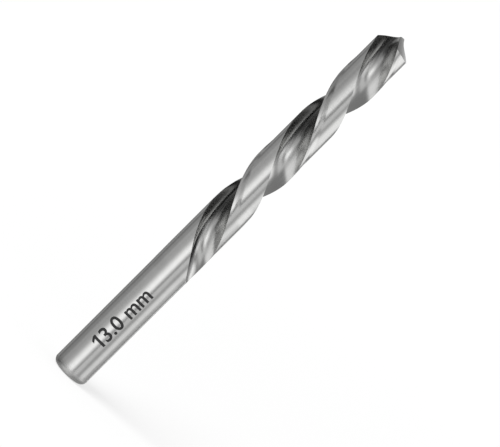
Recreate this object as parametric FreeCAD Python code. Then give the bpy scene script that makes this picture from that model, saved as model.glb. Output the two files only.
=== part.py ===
import FreeCAD, Part
import os
from math import cos, degrees, pi, radians, sin, sqrt, tan

# A twist drill, ground from one round bar of steel: a plain straight shank, two flutes on a
# left-hand spiral, relieved lands with narrow margins, and a conically ground point.
# Its axis is Z. It stands on the flat of its shank end, with its point up. Sizes are in millimetres.

# Bar. The shank is ground a little thinner than the body.
diameter = 13.0
overall_length = 151.0
shank_diameter = 12.9
shank_length = 44.5
shank_step = 0.8             # length of the small cone between shank and body
shank_end_rounding = 2.0

# Spiral and flutes
helix_angle = 29.0
flute_length = 103.5         # from the point's tip to where the flutes end on the shank
web_at_point = 2.0
web_growth = 0.02            # how much thicker the web gets for each millimetre up the flute
land_angle = 83.0            # the part of half a turn that one land takes up
flute_floor_reach = 4.4      # how far the flute's floor runs flat from the web to the heel side
heel_wall_reach = 2.2
heel_wall_flare = 26.0       # how far the wall at the heel leans out from the radius
cutter_radius = 38.0         # the flute cutter's own radius, which shapes the end of the flute
straight_lip_angle = 132.0   # a point ground at this angle would have straight lips
start_angle = -71.8          # where the first lip's end lies round the axis, seen from the point

# Lands: each is turned down behind its margin, and comes back up to full size above the shank
margin_width = 1.0
clearance_depth = 0.3
margin_step_width = 1.1
clearance_length = 72.0      # from the point's tip to where the lands start to come back up
clearance_run_out = 6.0

# Point, ground as part of a cone for each lip
point_angle = 118.0
grind_cone_angle = 36.0      # half angle of the cone that the point is swung on
grind_cone_distance = 14.0   # along the lip's line, from the drill's axis to the cone's tip
lip_relief = 13.0

# Construction values that leave no size on the drill
outside = 1.2                # how far a cutter's section stands out past the bar
section_turn = 15.0          # how far the spiral turns from one section of a cutter to the next
loft_degree = 3              # how smoothly a cutter runs from section to section
margin_root = 0.5            # how deep a margin's foot is let into the land
margin_crest = 0.25          # how far a margin stands proud before it is ground to the diameter
cone_reach = 52.0            # how far the grinding cone is drawn past its place on the drill's axis

radius = diameter / 2
land_radius = radius - clearance_depth
lead = pi * diameter / tan(radians(helix_angle))
half_point = radians(point_angle / 2)
lip_twist = 2 * pi / (lead * tan(radians(straight_lip_angle / 2)))
flute_end = overall_length - flute_length
clearance_end = overall_length - clearance_length - clearance_run_out


def polar(distance, angle):
    return FreeCAD.Vector(distance * cos(angle), distance * sin(angle), 0)


def turned(vector, angle):
    return FreeCAD.Vector(vector.x * cos(angle) - vector.y * sin(angle),
                          vector.x * sin(angle) + vector.y * cos(angle), vector.z)


def spiral_angle(z):
    # The left-hand spiral turns clockwise on its way up, seen from above.
    return radians(start_angle) - 2 * pi * (z - overall_length) / lead


def web(z):
    return web_at_point + web_growth * (overall_length - z)


def face_point(along_lip, half_web):
    # The flute's face is a straight line, half a web ahead of the axis, followed down the
    # spiral, so a level section through the face curves back like this.
    return turned(FreeCAD.Vector(along_lip, -half_web, 0), -lip_twist * along_lip)


def edge_angle(half_web):
    # Direction of the margin's cutting edge in the tip's own level section.
    corner = face_point(sqrt(radius ** 2 - half_web ** 2), half_web)
    return FreeCAD.Vector(1, 0, 0).getAngle(corner) * (-1 if corner.y < 0 else 1)


lip_edge_angle = edge_angle(web_at_point / 2)
flute_angle = pi - radians(land_angle)
flute_middle = lip_edge_angle - flute_angle / 2


def lift(z, depth):
    # How far the round flute cutter has risen out of the bar near the flute's end.
    start = flute_end + sqrt(2 * cutter_radius * depth - depth ** 2)
    if z >= start:
        return 0
    return cutter_radius - sqrt(cutter_radius ** 2 - (start - z) ** 2)


def placed(edges, z):
    # A level section, turned to its place on the spiral and set at its height.
    wire = Part.Wire([edge.toShape() for edge in edges])
    wire.rotate(FreeCAD.Vector(0, 0, 0), FreeCAD.Vector(0, 0, 1), degrees(spiral_angle(z)))
    wire.translate(FreeCAD.Vector(0, 0, z))
    return wire


def face_curve(reach, half_web):
    # The flute's face in a level section, from outside the lip's corner in to the web.
    corner = face_point(reach, half_web)
    floor = face_point(0, half_web)
    outer_run = turned(FreeCAD.Vector(1 - lip_twist * half_web, -lip_twist * reach, 0), -lip_twist * reach)
    inner_run = FreeCAD.Vector(1 - lip_twist * half_web, 0, 0)
    curve = Part.BezierCurve()
    curve.setPoles([corner, corner - outer_run * (reach / 3), floor + inner_run * (reach / 3), floor])
    return curve


def flute_section(z):
    half_web = web(z) / 2
    outer = radius + outside
    reach = sqrt(outer ** 2 - half_web ** 2)
    heel_angle = lip_edge_angle - flute_angle
    heel = polar(outer, heel_angle)
    floor = face_point(0, half_web)
    wall = Part.BezierCurve()
    wall.setPoles([floor, floor - FreeCAD.Vector(flute_floor_reach, 0, 0),
                   heel - polar(heel_wall_reach, heel_angle - radians(heel_wall_flare)), heel])
    back = Part.Arc(heel, polar(outer + outside, flute_middle), face_point(reach, half_web))
    edges = [face_curve(reach, half_web), wall, back]
    away = polar(lift(z, radius - half_web), flute_middle)
    for edge in edges:
        edge.translate(away)
    return placed(edges, z)


def margin_section(z):
    # From well ahead of the cutting edge, where the flute is milled later, back to the margin's foot.
    inner = land_radius - margin_root
    outer = radius + margin_crest
    margin_end = lip_edge_angle + margin_width / radius
    slope = margin_step_width / radius / clearance_depth
    top = margin_end - slope * margin_crest
    front = min(lip_edge_angle, top) - margin_width / radius
    foot = margin_end + slope * (clearance_depth + margin_root)
    step = Part.LineSegment(polar(outer, top), polar(inner, foot))
    floor = Part.Arc(polar(inner, foot), polar(inner, (front + foot) / 2), polar(inner, front))
    side = Part.LineSegment(polar(inner, front), polar(outer, front))
    back = Part.Arc(polar(outer, front), polar(outer, (front + top) / 2), polar(outer, top))
    return placed([step, floor, side, back], z)


def opposite_pair(shape):
    # Everything on the drill comes twice, half a turn apart.
    other = shape.copy()
    other.rotate(FreeCAD.Vector(0, 0, 0), FreeCAD.Vector(0, 0, 1), 180)
    return [shape, other]


def spiral_pair(section, low, high):
    # Two solids through level sections that turn along the spiral.
    count = int((high - low) / lead * 360 / section_turn) + 1
    heights = [low + (high - low) * i / count for i in range(count + 1)]
    return opposite_pair(Part.makeLoft([section(z) for z in heights], True, False, False, loft_degree))


def bar():
    # The round bar, rounded at the shank's end and turned down along the lands.
    shank_radius = shank_diameter / 2
    end_radius = shank_radius - shank_end_rounding
    halfway = shank_end_rounding * sin(pi / 4)
    profile = [(shank_radius, shank_end_rounding), (shank_radius, shank_length),
               (radius, shank_length + shank_step), (radius, clearance_end),
               (land_radius, clearance_end + clearance_run_out), (land_radius, overall_length),
               (0, overall_length), (0, 0), (end_radius, 0)]
    points = [FreeCAD.Vector(x, 0, z) for x, z in profile]
    rounding = Part.Arc(points[-1], FreeCAD.Vector(end_radius + halfway, 0, shank_end_rounding - halfway), points[0])
    face = Part.Face(Part.Wire(Part.makePolygon(points).Edges + [rounding.toShape()]))
    return face.revolve(FreeCAD.Vector(0, 0, 0), FreeCAD.Vector(0, 0, 1), 360)


def margins(top):
    # Narrow strips at full size along each cutting edge.
    sleeve = Part.makeCylinder(radius, top - clearance_end, FreeCAD.Vector(0, 0, clearance_end))
    return [strip.common(sleeve) for strip in spiral_pair(margin_section, clearance_end, top)]


def flank_cutters():
    # What the grinding wheel takes off above each lip's cone. The cone's own plane of symmetry
    # stands ahead of the lip, so the ground face falls away behind the lip.
    cone_angle = radians(grind_cone_angle)
    lip_length = radius / sin(half_point)
    skew = (grind_cone_distance + lip_length) * tan(cone_angle) * tan(radians(lip_relief)) * sin(half_point)
    tilt = half_point - cone_angle
    axis = FreeCAD.Vector(sin(tilt), 0, -cos(tilt))
    back = grind_cone_distance * sin(half_point)
    side = web_at_point / 2 + skew
    # The cone passes through the drill's tip, where the chisel edge crosses the axis.
    a = axis.z ** 2 - cos(cone_angle) ** 2
    b = back * axis.x * axis.z
    c = (back * axis.x) ** 2 - cos(cone_angle) ** 2 * (back ** 2 + side ** 2)
    depth = (-b - sqrt(b ** 2 - a * c)) / a
    tip = FreeCAD.Vector(-back, -side, overall_length - depth)
    height = grind_cone_distance + cone_reach
    cone = Part.makeCone(0, height * tan(cone_angle), height, tip, axis)
    block = Part.makeCylinder(radius + outside, diameter + outside,
                              FreeCAD.Vector(0, 0, overall_length - diameter))
    cutter = block.cut(cone)
    cutter.rotate(FreeCAD.Vector(0, 0, 0), FreeCAD.Vector(0, 0, 1), start_angle)
    return opposite_pair(cutter)


def drill_bit():
    # The bar with its margins, then the flutes are milled and the point is ground last.
    top = overall_length + outside
    drill = bar()
    for margin in margins(overall_length):
        drill = drill.fuse(margin)
    drill = drill.cut(spiral_pair(flute_section, flute_end - outside, top))
    for cutter in flank_cutters():
        drill = drill.cut(cutter)
    return drill


os.makedirs("parts", exist_ok=True)
shape = drill_bit()
solid = shape.Solids[0]
print("solids", len(shape.Solids), "valid", solid.isValid(), "volume", round(solid.Volume, 1))
solid.exportStep("parts/drill_bit.step")
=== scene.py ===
import bmesh
import bpy
from math import atan2, cos, degrees, hypot, pi, radians, sin, sqrt, tan
from mathutils import Matrix, Vector


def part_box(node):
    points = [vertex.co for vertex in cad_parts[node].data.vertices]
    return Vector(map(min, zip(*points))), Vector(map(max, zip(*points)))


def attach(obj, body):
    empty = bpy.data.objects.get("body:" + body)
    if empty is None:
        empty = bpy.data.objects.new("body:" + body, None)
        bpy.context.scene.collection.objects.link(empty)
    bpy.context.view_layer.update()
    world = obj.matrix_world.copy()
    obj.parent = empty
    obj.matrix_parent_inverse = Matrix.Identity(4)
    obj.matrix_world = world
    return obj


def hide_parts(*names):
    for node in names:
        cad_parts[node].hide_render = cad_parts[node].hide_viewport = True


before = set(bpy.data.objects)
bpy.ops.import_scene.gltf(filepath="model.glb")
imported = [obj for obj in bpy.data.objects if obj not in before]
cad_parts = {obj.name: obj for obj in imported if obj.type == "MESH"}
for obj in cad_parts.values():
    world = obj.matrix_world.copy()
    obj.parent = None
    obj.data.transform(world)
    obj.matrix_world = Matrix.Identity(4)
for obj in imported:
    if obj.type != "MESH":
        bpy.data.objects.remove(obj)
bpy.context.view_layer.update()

low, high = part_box("drill_bit")
mm = 0.001

# The drill stands on its shank's flat end with its point up. Lengths are in millimetres until its
# mesh is finished, because that is how such a tool is drawn, and angles are in degrees.
drill = {
    "radius": (high[0] - low[0]) / 2 / mm,
    "length": (high[2] - low[2]) / mm,
    # The shank is ground a little thinner than the body, and blends into it.
    "shankRadius": 6.45,
    "shankLength": 44.5,
    "shankBlend": 5.0,
    "endRounding": 2.0,
    # Spiral and flutes. The floor and the heel's wall reach this far towards each other, and a
    # point ground at straightLipAngle would have straight lips.
    "helixAngle": 29.0,
    "startAngle": -71.8,
    "fluteLength": 103.5,
    "webAtPoint": 2.0,
    "webGrowth": 0.02,
    "landAngle": 83.0,
    "floorReach": 4.4,
    "wallReach": 2.2,
    "wallFlare": 26.0,
    "cutterRadius": 38.0,
    "straightLipAngle": 132.0,
    # The lands are turned down behind their margins, and come back up above the shank.
    "marginWidth": 1.0,
    "stepWidth": 1.6,
    "clearanceDepth": 0.2,
    "clearanceLength": 72.0,
    "clearanceRunOut": 6.0,
    # Each flank is ground on a cone whose tip lies out along the lip's line.
    "pointAngle": 118.0,
    "coneAngle": 36.0,
    "coneDistance": 14.0,
    "lipRelief": 13.0,
    # How far the flutes' profile and the rings stand out past the bar before the grinding.
    "outside": 1.2,
}

# How finely the drill is drawn.
mesh = {
    # Columns round one land and its flute
    "marginSteps": 4, "stepSteps": 3, "landSteps": 28, "fluteSteps": 52,
    # Rings: how many on the shank and its rounding, and how far apart on the body, where they are
    # closer over the length in which the flutes run out
    "shankRings": 24, "roundingSteps": 16,
    "ringSpacing": 0.6, "endSpacing": 0.25, "fineLength": 14.0,
    # How closely a flute's level section is searched for its ends and then walked along
    "searchSteps": 60, "halvings": 40, "walkSteps": 400, "leastStep": 1e-12,
    # The grinding cones, whose depth is in drill lengths
    "coneSegments": 720, "coneDepth": 1.25,
    # Points this close are made one, and edges this short are closed up.
    "weld": 1e-5, "sliver": 0.003,
    "sharpAngle": 24.0,
}

radius = drill["radius"]
length = drill["length"]
lead = 2 * pi * radius / tan(radians(drill["helixAngle"]))
halfPoint = radians(drill["pointAngle"] / 2)
fluteEnd = length - drill["fluteLength"]
clearanceEnd = length - drill["clearanceLength"] - drill["clearanceRunOut"]


def polar(distance, angle):
    return Vector((distance * cos(angle), distance * sin(angle)))


def turned(v, angle):
    return Vector((v.x * cos(angle) - v.y * sin(angle), v.x * sin(angle) + v.y * cos(angle)))


def opposite(points):    # everything on the drill comes twice, half a turn apart
    return [Vector((-p.x, -p.y)) for p in points]


def clamped(share):
    return min(1.0, max(0.0, share))


def spiralAngle(z):    # the left-hand spiral turns clockwise on its way up, seen from above
    return radians(drill["startAngle"]) - 2 * pi * (z - length) / lead


def facePoint(alongLip, halfWeb):    # a straight lip followed down the spiral
    drop = alongLip / tan(radians(drill["straightLipAngle"] / 2))
    return turned(Vector((alongLip, -halfWeb)), -2 * pi * drop / lead)


def edgeAngle(halfWeb):
    corner = facePoint(sqrt(radius ** 2 - halfWeb ** 2), halfWeb)
    return atan2(corner.y, corner.x)


lipEdge = edgeAngle(drill["webAtPoint"] / 2)
fluteAngle = pi - radians(drill["landAngle"])
fluteMiddle = lipEdge - fluteAngle / 2


def lift(z, depth):    # how far the flute cutter has risen out of the bar
    cutter = drill["cutterRadius"]
    start = fluteEnd + sqrt(2 * cutter * depth - depth ** 2)
    if z >= start:
        return 0.0
    return cutter - sqrt(max(0.0, cutter ** 2 - (start - z) ** 2))


def bodyRadius(z):
    share = clamped((z - drill["shankLength"]) / drill["shankBlend"])
    return drill["shankRadius"] + (radius - drill["shankRadius"]) * share * share * (3 - 2 * share)


def landRadius(z):
    rise = (clearanceEnd + drill["clearanceRunOut"] - z) / drill["clearanceRunOut"]
    return bodyRadius(z) - drill["clearanceDepth"] * (1 - clamped(rise))


def bezier(poles, t):
    a, b, c, d = poles
    s = 1 - t
    return a * s ** 3 + b * 3 * s * s * t + c * 3 * s * t * t + d * t ** 3


def fluteCurve(z):
    # The milled profile, which starts at 0 outside the heel, comes to the face at 1 and ends at 2
    # outside the lip.
    halfWeb = (drill["webAtPoint"] + drill["webGrowth"] * (length - z)) / 2
    outer = radius + drill["outside"]
    away = polar(lift(z, radius - halfWeb), fluteMiddle)
    heelAngle = lipEdge - fluteAngle
    heel = polar(outer, heelAngle)
    floor = Vector((0, -halfWeb))
    poles = [heel, heel - polar(drill["wallReach"], heelAngle - radians(drill["wallFlare"])),
             floor - Vector((drill["floorReach"], 0)), floor]
    reach = sqrt(outer ** 2 - halfWeb ** 2)

    def at(t):
        return (bezier(poles, t) if t < 1 else facePoint(reach * (t - 1), halfWeb)) + away
    return at


def crossing(at, inside, outside, limit):    # where the curve passes the radius limit, by halving
    for i in range(mesh["halvings"]):
        middle = (inside + outside) / 2
        if at(middle).length < limit:
            inside = middle
        else:
            outside = middle
    return (inside + outside) / 2


def evenly(points, count):    # the ends of equal steps along a line of points
    walked = [0.0]
    for a, b in zip(points, points[1:]):
        walked.append(walked[-1] + (b - a).length)
    picked = []
    j = 0
    for i in range(count + 1):
        goal = walked[-1] * i / count
        while j < len(points) - 2 and walked[j + 1] < goal:
            j += 1
        part = (goal - walked[j]) / max(mesh["leastStep"], walked[j + 1] - walked[j])
        picked.append(points[j].lerp(points[j + 1], part))
    return picked


def flutePoints(z):    # the flute at this height, from the heel to the margin's edge
    at = fluteCurve(max(z, fluteEnd))
    samples = [i / mesh["searchSteps"] for i in range(2 * mesh["searchSteps"] + 1)]
    deepest = min(samples, key=lambda t: at(t).length)
    if at(deepest).length >= landRadius(z):
        # Below the flute its columns all run down one line of the plain shank.
        return [polar(bodyRadius(z), atan2(at(deepest).y, at(deepest).x))] * (mesh["fluteSteps"] + 1)
    heelSide = crossing(at, deepest, 0.0, landRadius(z))
    lipSide = crossing(at, deepest, 2.0, bodyRadius(z))
    steps = mesh["walkSteps"]
    dense = [at(heelSide + (lipSide - heelSide) * i / steps) for i in range(steps + 1)]
    return evenly(dense, mesh["fluteSteps"])


def halfRing(z):    # margin, step and land, then the flute behind the land's heel
    full = bodyRadius(z)
    land = landRadius(z)
    flute = flutePoints(z)
    # The flute belongs to the land that is half a turn on, so this land starts where the flute ends.
    start = atan2(flute[-1].y, flute[-1].x)
    end = atan2(flute[0].y, flute[0].x) + pi
    while end < start:
        end += 2 * pi
    while end > start + 1.5 * pi:
        end -= 2 * pi
    margin = start + drill["marginWidth"] / radius
    foot = margin + drill["stepWidth"] / radius
    points = []
    for i in range(mesh["marginSteps"] + 1):
        points.append(polar(full, start + (margin - start) * i / mesh["marginSteps"]))
    for i in range(1, mesh["stepSteps"] + 1):
        share = i / mesh["stepSteps"]
        points.append(polar(full + (land - full) * share, margin + (foot - margin) * share))
    for i in range(1, mesh["landSteps"] + 1):
        points.append(polar(land, foot + (end - foot) * i / mesh["landSteps"]))
    return points + opposite(flute[1:-1])


def ring(z):
    half = halfRing(z)
    turn = spiralAngle(max(z, fluteEnd))
    return [turned(p, turn) for p in half + opposite(half)]


def ringHeights():    # finer where the flutes run out
    top = drill["endRounding"]
    heights = [top + (drill["shankLength"] - top) * i / mesh["shankRings"]
               for i in range(mesh["shankRings"] + 1)]
    z = drill["shankLength"]
    fineTop = fluteEnd + mesh["fineLength"]
    while z < length + drill["outside"]:
        z += mesh["endSpacing"] if z < fineTop else mesh["ringSpacing"]
        heights.append(z)
    return heights


def endProfile():    # radius and height, from the plain shank round to the flat end
    rounding = drill["endRounding"]
    bends = [pi / 2 * i / mesh["roundingSteps"] for i in range(mesh["roundingSteps"] + 1)]
    return [(drill["shankRadius"] - rounding * (1 - cos(bend)), rounding * (1 - sin(bend)))
            for bend in bends]


def addObject(name, data):
    o = bpy.data.objects.new(name, data)
    bpy.context.scene.collection.objects.link(o)
    return o


def meshObject(name, bm, materials):
    data = bpy.data.meshes.new(name)
    bm.to_mesh(data)
    bm.free()
    for material in materials:
        data.materials.append(material)
    return addObject(name, data)


def bakedMesh(o):    # the mesh that an object's modifiers or words come to
    bpy.context.view_layer.update()
    return bpy.data.meshes.new_from_object(o.evaluated_get(bpy.context.evaluated_depsgraph_get()))


def drawnOut(bm, edges):    # the new points, edges and faces
    made = bmesh.ops.extrude_edge_only(bm, edges=edges)["geom"]
    kinds = (bmesh.types.BMVert, bmesh.types.BMEdge, bmesh.types.BMFace)
    return [[g for g in made if isinstance(g, kind)] for kind in kinds]


def drillBody(materials):    # the fluted bar, which goes on past the point until it is ground
    bm = bmesh.new()
    column = bm.verts.layers.int.new("column")
    heights = ringHeights()
    first = ring(heights[0])
    bmesh.ops.create_circle(bm, cap_ends=False, segments=len(first), radius=radius)
    bm.verts.ensure_lookup_table()
    for i, v in enumerate(bm.verts):
        v[column] = i
        v.co = (*first[i], heights[0])
    half = len(first) // 2
    landColumns = mesh["marginSteps"] + mesh["stepSteps"] + mesh["landSteps"]
    start = list(bm.edges)
    edges = start
    for z in heights[1:]:
        points = ring(z)
        verts, edges, faces = drawnOut(bm, edges)
        for v in verts:
            v.co = (*points[v[column]], z)
        for face in faces:
            left = min(v[column] for v in face.verts)
            right = max(v[column] for v in face.verts)
            # The last face of a ring lies between its last column and its first.
            left = right if right - left > 1 else left
            face.material_index = 1 if left % half >= landColumns and z > fluteEnd else 0
    bmesh.ops.holes_fill(bm, edges=edges)
    edges = start
    for r, z in endProfile()[1:]:
        verts, edges, faces = drawnOut(bm, edges)
        for v in verts:
            shrink = r / hypot(v.co.x, v.co.y)
            v.co = (v.co.x * shrink, v.co.y * shrink, z)
    bmesh.ops.holes_fill(bm, edges=edges)
    bmesh.ops.remove_doubles(bm, verts=bm.verts, dist=mesh["weld"])
    bmesh.ops.recalc_face_normals(bm, faces=bm.faces)
    return meshObject("drillBar", bm, materials)


def grindingCone():    # tip and axis of the cone that the first lip's flank is ground on
    angle = radians(drill["coneAngle"])
    reach = drill["coneDistance"] + radius / sin(halfPoint)
    skew = reach * tan(angle) * tan(radians(drill["lipRelief"])) * sin(halfPoint)
    tilt = halfPoint - angle
    axis = Vector((sin(tilt), 0, -cos(tilt)))
    back = drill["coneDistance"] * sin(halfPoint)
    side = drill["webAtPoint"] / 2 + skew
    # The cone passes through the drill's tip, which gives a quadratic for the depth of its own tip.
    a = axis.z ** 2 - cos(angle) ** 2
    b = back * axis.x * axis.z
    c = (back * axis.x) ** 2 - cos(angle) ** 2 * (back ** 2 + side ** 2)
    return Vector((-back, -side, length - (-b - sqrt(b * b - a * c)) / a)), axis


def coneObject(name, turn, material):
    tip, axis = grindingCone()
    depth = mesh["coneDepth"] * length
    bm = bmesh.new()
    bmesh.ops.create_cone(bm, cap_ends=True, segments=mesh["coneSegments"],
                          radius1=depth * tan(radians(drill["coneAngle"])), radius2=0, depth=depth)
    bmesh.ops.translate(bm, vec=(0, 0, -depth / 2), verts=bm.verts)
    place = Matrix.Translation(tip) @ (-axis).to_track_quat("Z", "Y").to_matrix().to_4x4()
    spin = Matrix.Rotation(radians(drill["startAngle"]) + turn, 4, "Z")
    bmesh.ops.transform(bm, matrix=spin @ place, verts=bm.verts)
    return meshObject(name, bm, [material])


def drillPiece(ground, flute, flanks):
    bar = drillBody([ground, flute])
    cones = [coneObject("grindingCone" + str(i), pi * i, flank) for i, flank in enumerate(flanks)]
    for cone in cones:
        m = bar.modifiers.new("grind", "BOOLEAN")
        m.operation = "INTERSECT"
        m.solver = "MANIFOLD"
        m.object = cone
        m.material_mode = "TRANSFER"
    data = bakedMesh(bar)
    for o in [bar] + cones:
        bpy.data.objects.remove(o)
    # The grinding leaves slivers and many-sided faces along the flanks' edges, which are cleared here.
    bm = bmesh.new()
    bm.from_mesh(data)
    bmesh.ops.dissolve_degenerate(bm, dist=mesh["sliver"], edges=bm.edges)
    bmesh.ops.triangulate(bm, faces=[f for f in bm.faces if len(f.verts) > 4])
    bm.to_mesh(data)
    bm.free()
    data.transform(Matrix.Scale(mm, 4))
    data.shade_smooth()
    data.set_sharp_from_angle(angle=radians(mesh["sharpAngle"]))
    piece = addObject("twistDrill", data)
    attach(piece, "root")
    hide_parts("drill_bit")
    print("drill made", len(data.vertices), "points", [m.name for m in data.materials])


class Wire:    # one output of a node, so that shader sums read as plain expressions
    def __init__(self, tree, socket):
        self.tree = tree
        self.socket = socket

    def make(self, kind, settings=None, inputs=None, output=0):
        return makeNode(self.tree, kind, settings, inputs, output)

    def math(self, operation, *others):
        return self.make("ShaderNodeMath", {"operation": operation}, dict(enumerate((self, *others))))

    def parts(self):
        node = self.make("ShaderNodeSeparateXYZ", {}, {0: self}).socket.node
        return [Wire(self.tree, socket) for socket in node.outputs]

    def ramp(self, start, end, low, high, shape="SMOOTHSTEP"):
        ends = {"From Min": start, "From Max": end, "To Min": low, "To Max": high}
        return self.make("ShaderNodeMapRange", {"interpolation_type": shape}, {"Value": self, **ends})

    def __add__(self, other):
        return self.math("ADD", other)

    def __sub__(self, other):
        return self.math("SUBTRACT", other)

    def __rsub__(self, other):
        return self.make("ShaderNodeMath", {"operation": "SUBTRACT"}, {0: other, 1: self})

    def __mul__(self, other):
        return self.math("MULTIPLY", other)

    __radd__ = __add__
    __rmul__ = __mul__


def makeNode(tree, kind, settings=None, inputs=None, output=0):
    node = tree.nodes.new(kind)
    for name, value in (settings or {}).items():
        setattr(node, name, value)
    for name, value in (inputs or {}).items():
        if isinstance(value, Wire):
            tree.links.new(value.socket, node.inputs[name])
        else:
            node.inputs[name].default_value = value
    return Wire(tree, node.outputs[output])


def noise(place, grains, detail=2.0):    # about 0.5, with grains in a millimetre along x, y and z
    spread = place.make("ShaderNodeVectorMath", {"operation": "MULTIPLY"}, {0: place, 1: grains})
    return place.make("ShaderNodeTexNoise", {}, {"Vector": spread, "Scale": 1.0, "Detail": detail})


def startMaterial(name, metallic):    # the material, and the place on the drill in millimetres
    material = bpy.data.materials.new(name)
    material.use_nodes = True
    tree = material.node_tree
    tree.nodes["Principled BSDF"].inputs["Metallic"].default_value = metallic
    place = makeNode(tree, "ShaderNodeTexCoord", output="Object")
    place = place.make("ShaderNodeVectorMath", {"operation": "SCALE"}, {0: place, "Scale": 1 / mm})
    return material, place


def finishMaterial(material, look, tone, roughness, height):
    # The colour runs from dark to light with tone, and the surface rises with height by the look's
    # depth in millimetres. A colour mix has its two colours at inputs 6 and 7, and its result at 2.
    dark, light = look["colours"]
    colour = tone.make("ShaderNodeMix", {"data_type": "RGBA"},
                       {0: tone, 6: (*dark, 1), 7: (*light, 1)}, 2)
    bump = height.make("ShaderNodeBump", {}, {"Height": height, "Distance": look["depth"] * mm})
    tree = material.node_tree
    for name, wire in (("Base Color", colour), ("Roughness", roughness), ("Normal", bump)):
        tree.links.new(wire.socket, tree.nodes["Principled BSDF"].inputs[name])
    return material


# What the steels share: how strongly their marks show, and how fine the marks of handling are.
steel = {
    "contrast": 1.6,
    "roughnessSpread": 0.12,
    "handledDetail": 4.0,
}


def mixedTone(layers, shares):    # with more contrast round the middle
    mixed = sum(share * layer for share, layer in zip(shares, layers))
    return (mixed - 0.5) * steel["contrast"] + 0.5


# Shank and lands: fine lines round the bar, faint bands, and marks of handling, each given by its
# grains in a millimetre, then each one's share of the tone. The rounded end is duller.
groundLook = {
    "colours": ((0.57, 0.57, 0.56), (0.69, 0.69, 0.685)),
    "lines": (0.25, 0.25, 8.0),
    "bands": (0.05, 0.05, 0.9),
    "handled": (0.35, 0.35, 0.12),
    "shares": (0.35, 0.25, 0.4),
    "roughness": 0.15,
    "endDullness": 0.35,
    "endFade": 1.0,
    "depth": 0.003,
}


def groundSteel():
    look = groundLook
    material, place = startMaterial("groundSteel", 1.0)
    lines = noise(place, look["lines"])
    bands = noise(place, look["bands"])
    handled = noise(place, look["handled"], steel["handledDetail"])
    tone = mixedTone((lines, bands, handled), look["shares"])
    rounding = drill["endRounding"]
    nearEnd = place.parts()[2].ramp(rounding + look["endFade"], rounding - look["endFade"],
                                    0.0, look["endDullness"])
    uneven = 0.5 * handled + 0.5 * lines
    roughness = look["roughness"] + steel["roughnessSpread"] * uneven + nearEnd
    return finishMaterial(material, look, tone, roughness, lines)


# Flutes: the cutter's lines run along them, so the lines are drawn with the spiral taken out.
fluteLook = {
    "colours": ((0.54, 0.54, 0.53), (0.68, 0.68, 0.675)),
    "lines": (6.0, 6.0, 0.05),
    "bands": (0.9, 0.9, 0.02),
    "handled": (0.4, 0.4, 0.4),
    "shares": (0.35, 0.35, 0.3),
    "roughness": 0.15,
    "depth": 0.003,
}


def fluteSteel():
    look = fluteLook
    material, place = startMaterial("fluteSteel", 1.0)
    turnBack = (place.parts()[2] - length) * (2 * pi / lead) - radians(drill["startAngle"])
    straight = place.make("ShaderNodeVectorRotate", {"rotation_type": "Z_AXIS"},
                          {"Vector": place, "Angle": turnBack})
    lines = noise(straight, look["lines"])
    bands = noise(straight, look["bands"])
    handled = noise(place, look["handled"], steel["handledDetail"])
    tone = mixedTone((lines, bands, handled), look["shares"])
    uneven = 0.5 * handled + 0.5 * lines
    roughness = look["roughness"] + steel["roughnessSpread"] * uneven
    return finishMaterial(material, look, tone, roughness, lines)


# Point: the wheel's lines are circles about the axis of the cone that the flank is swung on, so
# their grains in a millimetre are counted along that axis.
pointLook = {
    "colours": ((0.34, 0.34, 0.335), (0.45, 0.45, 0.445)),
    "lines": 5.0,
    "handled": (0.6, 0.6, 0.6),
    "shares": (0.6, 0.4),
    "roughness": 0.26,
    "depth": 0.004,
}


def pointSteel(index):
    look = pointLook
    material, place = startMaterial("pointSteel" + str(index), 1.0)
    turn = Matrix.Rotation(radians(drill["startAngle"]) + pi * index, 3, "Z")
    axis = turn @ grindingCone()[1]
    along = place.make("ShaderNodeVectorMath", {"operation": "DOT_PRODUCT"}, {0: place, 1: axis}, "Value")
    lines = place.make("ShaderNodeTexNoise", {"noise_dimensions": "1D"},
                       {"W": along * look["lines"], "Scale": 1.0})
    handled = noise(place, look["handled"], steel["handledDetail"])
    tone = mixedTone((lines, handled), look["shares"])
    roughness = look["roughness"] + steel["roughnessSpread"] * lines
    return finishMaterial(material, look, tone, roughness, lines)


drillPiece(groundSteel(), fluteSteel(), [pointSteel(0), pointSteel(1)])

# A plain size, printed up the shank where such drills are marked. Its font's figure one is a bare
# bar, which gets a flag.
mark = {
    "words": "13.0 mm",
    "letterSize": 7.0,
    "bolder": 0.12,
    "middle": 25.8,
    "above": 0.008,
    "strip": 0.35,
    "barWidth": 1.0,
    "flagThickness": 1.0,
    "flagReach": 1.25,
    "flagDrop": 1.0,
    "closer": 0.5,
    "sameLine": 1e-4,
    "onCut": 1e-6,
    "colours": ((0.008, 0.008, 0.009), (0.03, 0.03, 0.03)),
    "worn": (2.0, 2.0, 5.0),
    "wornDetail": 4.0,
    "roughness": 0.42,
    "roughnessSpread": 0.2,
    "depth": 0.002,
}


def markInk():
    material, place = startMaterial("markInk", 0.0)
    worn = noise(place, mark["worn"], mark["wornDetail"])
    roughness = mark["roughness"] + mark["roughnessSpread"] * worn
    return finishMaterial(material, mark, mixedTone((worn,), (1.0,)), roughness, worn)


def cutAcross(bm, y):
    bmesh.ops.bisect_plane(bm, geom=bm.verts[:] + bm.edges[:] + bm.faces[:], dist=mark["onCut"],
                           plane_co=(0, y, 0), plane_no=(0, 1, 0))


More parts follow.
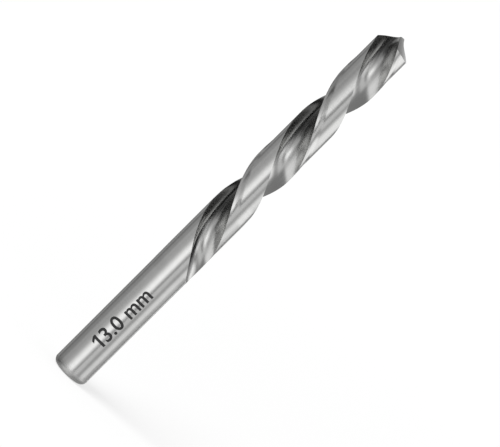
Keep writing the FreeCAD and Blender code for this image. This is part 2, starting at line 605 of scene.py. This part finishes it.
def drawFlag(bm):    # the top of the one's left edge is drawn out, and the one moves closer to the three
    left = min(v.co.x for v in bm.verts)
    top = max(v.co.y for v in bm.verts if v.co.x < left + mark["barWidth"])
    under = top - mark["flagThickness"]
    cutAcross(bm, under)
    near = mark["sameLine"]
    edges = [e for e in bm.edges if all(v.co.x < left + near and v.co.y > under - near for v in e.verts)]
    flag = drawnOut(bm, edges)[0]
    bmesh.ops.translate(bm, vec=(-mark["flagReach"], -mark["flagDrop"], 0), verts=flag)
    figure = [v for v in bm.verts if v.co.x < left + mark["barWidth"]]
    bmesh.ops.translate(bm, vec=(mark["closer"], 0, 0), verts=figure)


def markPiece():
    curve = bpy.data.curves.new("mark", "FONT")
    curve.body = mark["words"]
    curve.size = mark["letterSize"]
    curve.offset = mark["bolder"]
    words = addObject("mark", curve)
    data = bakedMesh(words)
    bpy.data.objects.remove(words)
    bm = bmesh.new()
    bm.from_mesh(data)
    drawFlag(bm)
    xs = [v.co.x for v in bm.verts]
    ys = [v.co.y for v in bm.verts]
    # Narrow strips along the words let them bend round the shank.
    for i in range(1, int((max(ys) - min(ys)) / mark["strip"]) + 1):
        cutAcross(bm, min(ys) + i * mark["strip"])
    distance = drill["shankRadius"] + mark["above"]
    for v in bm.verts:
        bend = -(v.co.y - (max(ys) + min(ys)) / 2) / distance
        height = mark["middle"] + v.co.x - (max(xs) + min(xs)) / 2
        v.co = Vector((distance * sin(bend), -distance * cos(bend), height)) * mm
    bmesh.ops.recalc_face_normals(bm, faces=bm.faces)
    bm.to_mesh(data)
    bm.free()
    data.materials.clear()
    data.materials.append(markInk())
    piece = addObject("sizeMark", data)
    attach(piece, "root")
    print("mark made", len(data.vertices), "points")


markPiece()

# The photograph looks a little down on the drill, and its camera is rolled so that the drill lies
# across the frame. The frame's middle is given along the drill and aside from it, in millimetres like
# the sensor's width, and the distance and clipEnd are in metres.
view = {
    "elevation": 7.0,
    "roll": 44.883,
    "distance": 1.1,
    "pixelsPerMillimetre": 3.16,
    "frameWidth": 500,
    "middleAlong": 75.34,
    "middleAside": 7.35,
    "sensorWidth": 36.0,
    "clipEnd": 100.0,
}


def placeCamera():
    tilt = radians(view["elevation"])
    roll = radians(view["roll"])
    side = Vector((1, 0, 0))
    along = Vector((0, sin(tilt), cos(tilt)))
    back = Vector((0, -cos(tilt), sin(tilt)))
    right = along * cos(roll) + side * sin(roll)
    up = along * sin(roll) - side * cos(roll)
    target = Vector((view["middleAside"], 0, view["middleAlong"])) * mm
    camera = addObject("camera", bpy.data.cameras.new("camera"))
    camera.data.sensor_width = view["sensorWidth"]
    frameWidth = view["frameWidth"] / view["pixelsPerMillimetre"] * mm
    camera.data.lens = view["distance"] * view["sensorWidth"] / frameWidth
    camera.data.clip_end = view["clipEnd"]
    place = Matrix.Translation(target + back * view["distance"])
    camera.matrix_world = place @ Matrix((right, up, back)).transposed().to_4x4()
    bpy.context.scene.camera = camera
    print("camera placed")


# What the steel mirrors: soft-edged lamps and screens far off all round. Each has its middle and half
# width in degrees, across from the camera's side (positive to the right) and up from level, then how
# soft its edges are both ways, and its brightness. A later screen stands before an earlier one.
surroundings = {
    "plain": 0.42,
    "screens": {
        "darkLeft": (-88, 35, -18, 37, 26, 26, 0.0),
        "dimLeft": (-93, 22, -5, 8, 25, 8, 0.4),
        "greyLeft": (-53, 28, -8, 5, 17, 8, 0.65),
        "darkLeftHigh": (-52, 34, 17, 10, 16, 7, 0.04),
        "brightBelow": (-20, 39, -64, 34, 20, 18, 1.07),
        "dimBelow": (68, 49, -53, 33, 21, 14, 0.28),
        "brightRight": (97, 30, -1, 6, 38, 3, 1.43),
        "greyRight": (85, 16, -10, 4, 16, 5, 1.01),
        "midRight": (23, 26, -2, 23, 17, 8, 0.76),
        "darkLine": (15, 9, -7, 8, 3, 4, 0.04),
        "brightFront": (-7, 19, -9, 5, 33, 7, 1.75),
        "frontHigh": (-12, 26, 20, 6, 12, 9, 0.1),
        "rightHigh": (43, 17, 16, 6, 5, 3, 1.54),
        "dimRight": (60, 11, 4, 5, 8, 5, 0.36),
        "darkAbove": (45, 87, 57, 42, 39, 6, 0.0),
        "brightBack": (170, 13, -5, 40, 18, 20, 1.1),
        "darkBack": (-155, 9, -5, 40, 14, 20, 0.12),
        "greyBack": (140, 8, -5, 40, 12, 20, 0.25),
    },
}


def fade(wire, half, soft):    # 1 within half of zero, then softly down to 0
    return wire.math("ABSOLUTE").ramp(half - soft / 2, half + soft / 2, 1.0, 0.0)


def makeSurroundings(tree):    # the brightness seen in the direction of a mirrored ray
    x, y, z = makeNode(tree, "ShaderNodeTexCoord", output="Generated").parts()
    azimuth = x.math("ARCTAN2", -1 * y) * degrees(1)
    height = z.math("ARCSINE") * degrees(1)
    total = surroundings["plain"]
    for middle, half, up, tall, softAcross, softUp, bright in surroundings["screens"].values():
        turn = (azimuth - middle).math("WRAP", 180, -180)
        mask = fade(turn, half, softAcross) * fade(height - up, tall, softUp)
        total = total * (1 - mask) + bright * mask
    return total


# A white floor, a lamp and a plain white world. The floor's own white grows with distance, in metres
# from the drill, so that the ground stays white all over and a faint shadow shows at the drill's foot.
studio = {
    "floorSize": 40,
    "floorGrey": 0.8,
    "whiteShare": 0.6,
    "near": 0.1,
    "far": 1.5,
    "whiteNear": 1.15,
    "whiteFar": 1.42,
    "daylight": 0.5,
    "lampPower": 27,
    "lampSize": 1.2,
    "lampPlace": (-0.9, -0.9, 1.5),
    "lampAim": (0, 0, 0.07),
}


def makeFloor():
    grey = studio["floorGrey"]
    material = bpy.data.materials.new("floor")
    material.use_nodes = True
    tree = material.node_tree
    tree.nodes.remove(tree.nodes["Principled BSDF"])
    plain = makeNode(tree, "ShaderNodeBsdfDiffuse", {}, {"Color": (grey, grey, grey, 1)})
    place = makeNode(tree, "ShaderNodeTexCoord", output="Object")
    away = place.make("ShaderNodeVectorMath", {"operation": "LENGTH"}, {0: place}, "Value")
    strength = away.ramp(studio["near"], studio["far"], studio["whiteNear"], studio["whiteFar"], "LINEAR")
    white = makeNode(tree, "ShaderNodeEmission", {}, {"Color": (1, 1, 1, 1), "Strength": strength})
    mixed = makeNode(tree, "ShaderNodeMixShader", {}, {0: studio["whiteShare"], 1: plain, 2: white})
    tree.links.new(mixed.socket, tree.nodes["Material Output"].inputs["Surface"])
    bm = bmesh.new()
    bmesh.ops.create_grid(bm, x_segments=1, y_segments=1, size=studio["floorSize"] / 2)
    o = meshObject("floor", bm, [material])
    o.visible_glossy = False
    print("floor made")


def makeWorld():    # white to the camera, the screens to what the steel mirrors, and daylight to the rest
    world = bpy.data.worlds.new("studio")
    bpy.context.scene.world = world
    world.use_nodes = True
    tree = world.node_tree
    camera = makeNode(tree, "ShaderNodeLightPath", output="Is Camera Ray")
    glossy = Wire(tree, camera.socket.node.outputs["Is Glossy Ray"])
    plain = studio["daylight"]
    strength = plain + (1 - plain) * camera + glossy * (makeSurroundings(tree) - plain)
    background = tree.nodes["Background"]
    background.inputs["Color"].default_value = (1, 1, 1, 1)
    tree.links.new(strength.socket, background.inputs["Strength"])
    print("world made")


def makeLamp():
    lamp = addObject("softLamp", bpy.data.lights.new("softLamp", "AREA"))
    lamp.data.shape = "DISK"
    lamp.data.size = studio["lampSize"]
    lamp.data.energy = studio["lampPower"]
    lamp.location = studio["lampPlace"]
    lamp.visible_glossy = False
    lamp.rotation_euler = (Vector(studio["lampAim"]) - lamp.location).to_track_quat("-Z", "Y").to_euler()
    print("lamp placed")


placeCamera()
makeFloor()
makeWorld()
makeLamp()
bpy.context.scene.view_settings.view_transform = "Standard"
